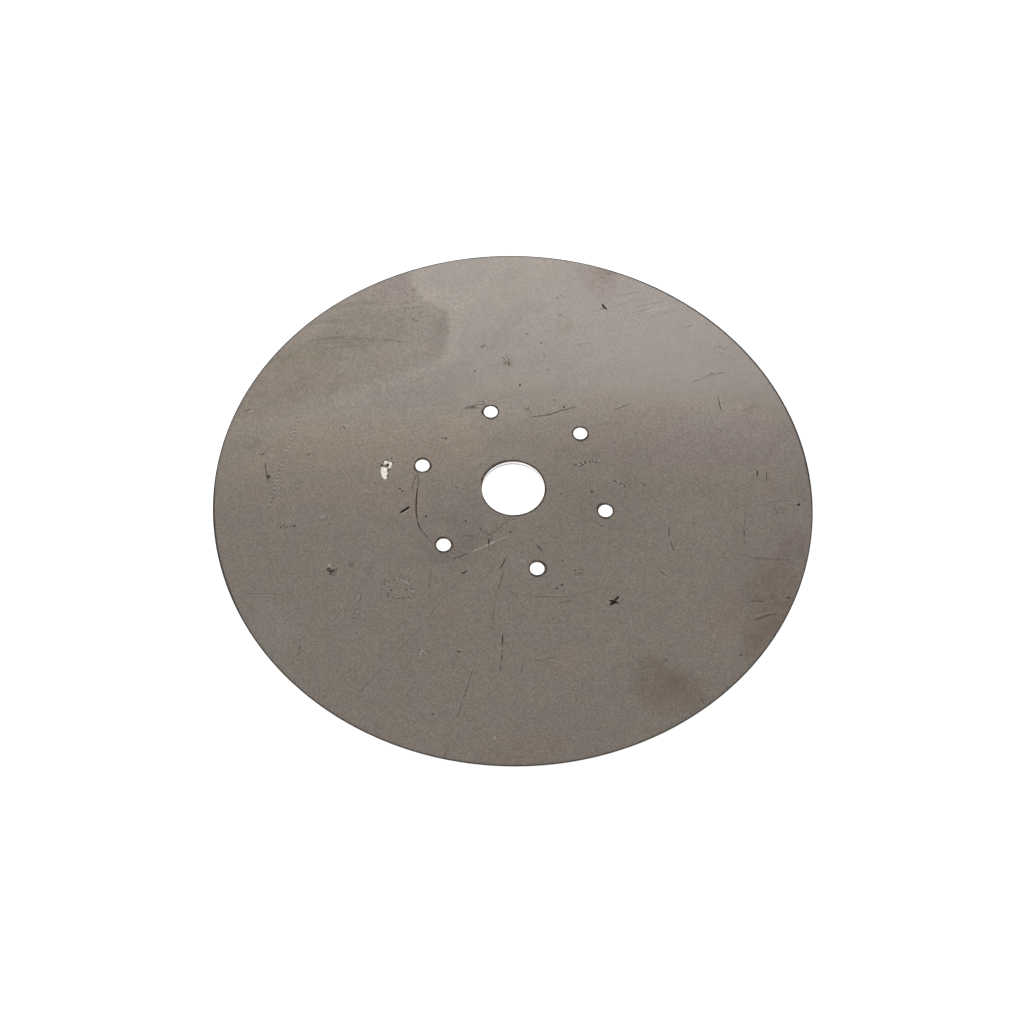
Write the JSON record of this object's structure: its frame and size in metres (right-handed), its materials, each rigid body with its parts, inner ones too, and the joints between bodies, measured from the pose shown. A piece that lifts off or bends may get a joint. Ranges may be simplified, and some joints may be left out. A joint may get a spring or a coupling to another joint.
{
  "type": "harrow disc blade",
  "caption": "Flat round steel disc blade with a pilot bore, a ring of bolt holes and a rim ground to a cutting edge from below.",
  "frame": {"origin": "on the disc's axis, at the lower face that the disc lies on", "axes": "+Z along the disc's axis, out of the flat upper face; +X through the middle of one bolt hole"},
  "size_m": [0.38, 0.38, 0.0035],
  "materials": {
    "blade_steel": "bare rolled sheet steel, dull, with fine handling scratches and light stains"
  },
  "bodies": {
    "root": {"disc_blade": "blade_steel"}
  },
  "joints": []
}
